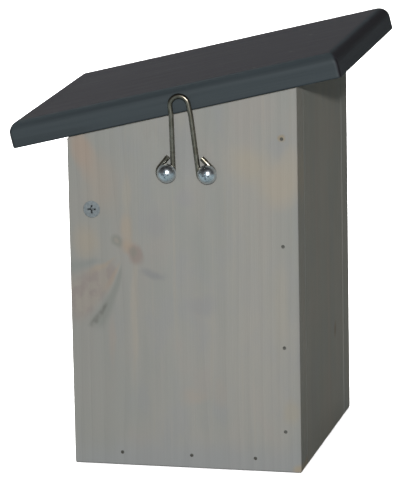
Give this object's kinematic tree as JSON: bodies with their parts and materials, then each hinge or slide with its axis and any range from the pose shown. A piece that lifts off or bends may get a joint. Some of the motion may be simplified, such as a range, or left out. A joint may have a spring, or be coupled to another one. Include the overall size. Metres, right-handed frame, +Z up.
{
  "type": "birdhouse",
  "caption": "Wooden nest box with a sloping roof board, round entrance, side door that swings out on screws, turning hook latch and wire hairpin hanger on the back.",
  "frame": {"origin": "middle of the floor's underside, where the box stands", "axes": "+Z up; -Y towards the entrance; +Y towards the wire hanger on the back; +X towards the door under the roof's low edge"},
  "size_m": [0.1958, 0.1699, 0.2457],
  "materials": {
    "grey_pine": "matt grey wash over planed pine, with knots and warm patches showing through",
    "roof_stain": "opaque anthracite wood stain, satin, faint grain",
    "steel_wire": "dull drawn steel wire",
    "zinc_screw": "bright zinc plate, bluish",
    "nail_steel": "dull steel wire, darkened by stain"
  },
  "bodies": {
    "nest_box": {"back_panel": "grey_pine", "front_panel": "grey_pine", "fixed_side": "grey_pine", "floor_panel": "grey_pine", "roof_board": "roof_stain", "wire_hanger": "steel_wire", "hanger_screws": "zinc_screw", "back_side_nails": "nail_steel", "back_floor_nails": "nail_steel", "front_side_nails": "nail_steel", "front_floor_nails": "nail_steel", "roof_nails": "nail_steel"},
    "door": {"side_door": "grey_pine", "rear_pivot_screw": "zinc_screw", "front_pivot_screw": "zinc_screw"},
    "latch": {"latch_hook": "zinc_screw"}
  },
  "joints": [
    {"name": "door_swing", "type": "hinge", "parent": "nest_box", "child": "door", "pos_m": [0.0539, 0, 0.152], "axis": [0, -1, 0], "range_deg": [0, 112]},
    {"name": "latch_turn", "type": "hinge", "parent": "nest_box", "child": "latch", "pos_m": [0.0675, -0.0635, 0.02], "axis": [1, 0, 0], "range_deg": [-90, 90]}
  ]
}
